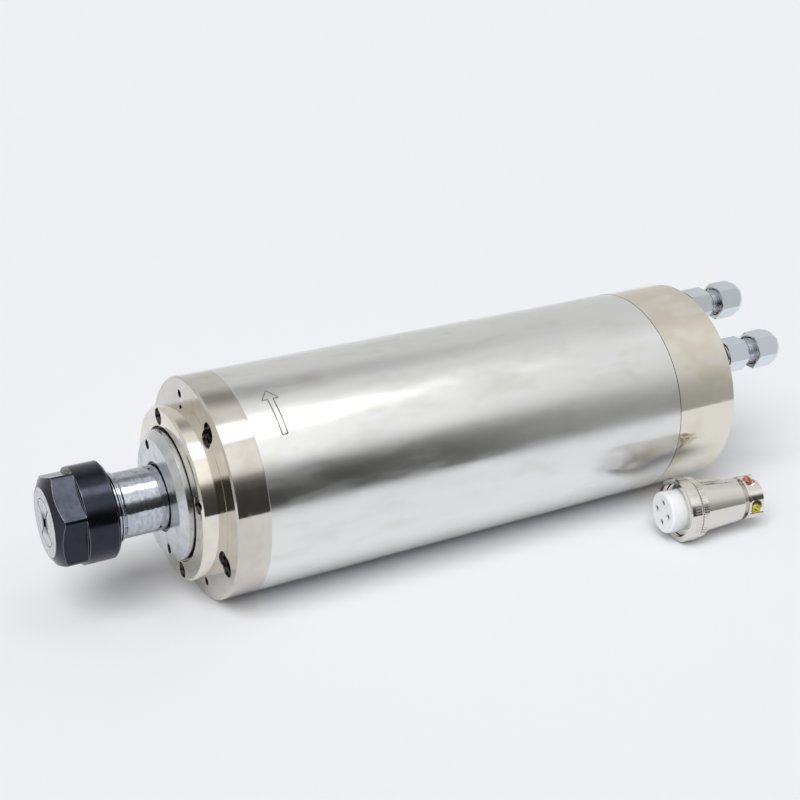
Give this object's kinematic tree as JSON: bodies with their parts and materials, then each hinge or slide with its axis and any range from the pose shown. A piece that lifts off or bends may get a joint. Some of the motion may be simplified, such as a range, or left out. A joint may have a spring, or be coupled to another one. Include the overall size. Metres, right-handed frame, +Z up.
{
  "type": "motor spindle",
  "caption": "Water-cooled motor spindle: smooth round steel body, stepped nose with collet and hex nut, rear cap with water fittings, and a loose power plug.",
  "frame": {"origin": "on the spindle axis, half way along the clamped steel sleeve", "axes": "+X along the spindle axis towards the rear cap, so the collet nose points to -X; +Z up, away from the surface that the body and the plug lie on"},
  "size_m": [0.2922, 0.1065, 0.08],
  "materials": {
    "ground_steel": "ground and lightly brushed lengthwise",
    "polished_nickel": "polished nickel plate",
    "satin_steel": "turned satin",
    "black_screws": "black oxide",
    "jacket_aluminium": "turned",
    "seal_rubber": "matte",
    "core_laminations": "stacked sheet edges",
    "enamelled_copper": "enamelled wire, varnished",
    "bearing_steel": "ground and polished",
    "champagne_nickel": "satin warm nickel plate",
    "nickel_plate": "bright nickel plate",
    "black_nylon": "moulded",
    "gold_brass": "plated",
    "dark_washer": "bonded seal",
    "ground_shaft": "ground bright",
    "cast_aluminium": "die cast",
    "black_oxide": "black oxide on steel",
    "phenolic_cage": "machined",
    "collet_steel": "ground spring steel",
    "ferrule_brass": "turned",
    "white_nylon": "moulded",
    "zinc_screws": "zinc plate, yellow tint"
  },
  "bodies": {
    "housing": {"outer_sleeve": "ground_steel", "front_flange": "polished_nickel", "front_flange_screws": "black_screws", "bearing_cap": "polished_nickel", "bearing_cap_screws": "black_screws", "water_jacket": "jacket_aluminium", "jacket_seals": "seal_rubber", "stator_core": "core_laminations", "stator_windings": "enamelled_copper", "front_bearing_outer_rings": "bearing_steel", "front_outer_spacer": "bearing_steel", "rear_bearing_outer_rings": "bearing_steel", "rear_outer_spacer": "bearing_steel", "preload_spring": "bearing_steel", "rear_bearing_housing": "jacket_aluminium", "rear_end_cap": "champagne_nickel", "rear_cap_screws": "black_screws", "power_socket_shell": "nickel_plate", "power_socket_insert": "black_nylon", "power_socket_pins": "gold_brass", "power_socket_nut": "nickel_plate", "water_inlet_body": "nickel_plate", "water_outlet_body": "nickel_plate", "fitting_washers": "dark_washer"},
    "rotor": {"spindle_shaft": "ground_shaft", "rotor_core": "core_laminations", "rotor_cage": "cast_aluminium", "labyrinth_disc": "satin_steel", "front_bearing_inner_rings": "bearing_steel", "front_inner_spacer": "bearing_steel", "rear_bearing_inner_rings": "bearing_steel", "rear_inner_spacer": "bearing_steel", "rear_lock_nut": "black_oxide"},
    "front_ball_set": {"front_bearing_balls": "bearing_steel", "front_bearing_cages": "phenolic_cage"},
    "rear_ball_set": {"rear_bearing_balls": "bearing_steel", "rear_bearing_cages": "phenolic_cage"},
    "collet": {"collet": "collet_steel"},
    "collet_nut": {"collet_nut": "black_oxide", "extraction_ring": "collet_steel"},
    "inlet_ferrule": {"water_inlet_ferrule": "ferrule_brass"},
    "inlet_nut": {"water_inlet_nut": "nickel_plate"},
    "outlet_ferrule": {"water_outlet_ferrule": "ferrule_brass"},
    "outlet_nut": {"water_outlet_nut": "nickel_plate"},
    "plug": {"plug_sleeve": "nickel_plate", "plug_insert": "white_nylon", "plug_contacts": "gold_brass", "plug_barrel": "nickel_plate", "plug_cable_clamp": "nickel_plate", "plug_clamp_saddle": "nickel_plate", "plug_clamp_screws": "zinc_screws"},
    "plug_ring": {"plug_coupling_ring": "nickel_plate"}
  },
  "joints": [
    {"name": "shaft_spin", "type": "hinge", "parent": "housing", "child": "rotor", "pos_m": [0, 0, 0], "axis": [1, 0, 0], "continuous": true},
    {"name": "front_cage_spin", "type": "hinge", "parent": "housing", "child": "front_ball_set", "pos_m": [-0.0802, 0, 0], "axis": [1, 0, 0], "continuous": true},
    {"name": "rear_cage_spin", "type": "hinge", "parent": "housing", "child": "rear_ball_set", "pos_m": [0.0797, 0, 0], "axis": [1, 0, 0], "continuous": true},
    {"name": "collet_travel", "type": "slide", "parent": "rotor", "child": "collet", "axis": [-1, 0, 0], "range_m": [0, 0.006]},
    {"name": "nut_turn", "type": "hinge", "parent": "collet", "child": "collet_nut", "pos_m": [-0.1404, 0, 0], "axis": [-1, 0, 0], "range_deg": [0, 1440]},
    {"name": "inlet_ferrule_travel", "type": "slide", "parent": "housing", "child": "inlet_ferrule", "axis": [1, 0, 0], "range_m": [-0.003, 0.003]},
    {"name": "inlet_nut_turn", "type": "hinge", "parent": "inlet_ferrule", "child": "inlet_nut", "pos_m": [0.1357, -0.00281, 0.03218], "axis": [1, 0, 0], "range_deg": [-1080, 1080]},
    {"name": "outlet_ferrule_travel", "type": "slide", "parent": "housing", "child": "outlet_ferrule", "axis": [1, 0, 0], "range_m": [-0.003, 0.003]},
    {"name": "outlet_nut_turn", "type": "hinge", "parent": "outlet_ferrule", "child": "outlet_nut", "pos_m": [0.1357, -0.02646, 0.01853], "axis": [1, 0, 0], "range_deg": [-1080, 1080]},
    {"name": "plug_lift", "type": "slide", "parent": "housing", "child": "plug", "axis": [0, 0, 1], "range_m": [0, 0.09]},
    {"name": "plug_ring_turn", "type": "hinge", "parent": "plug", "child": "plug_ring", "pos_m": [0.075, -0.0534, -0.0277], "axis": [0.9903, -0.1392, 0], "continuous": true}
  ],
  "couplings": [
    {"joint": "front_cage_spin", "follows": "shaft_spin", "ratio": 0.4115},
    {"joint": "rear_cage_spin", "follows": "shaft_spin", "ratio": 0.4064},
    {"joint": "nut_turn", "follows": "collet_travel", "rad_per_m": 4188.8},
    {"joint": "inlet_nut_turn", "follows": "inlet_ferrule_travel", "rad_per_m": 6283.2},
    {"joint": "outlet_nut_turn", "follows": "outlet_ferrule_travel", "rad_per_m": 6283.2}
  ]
}
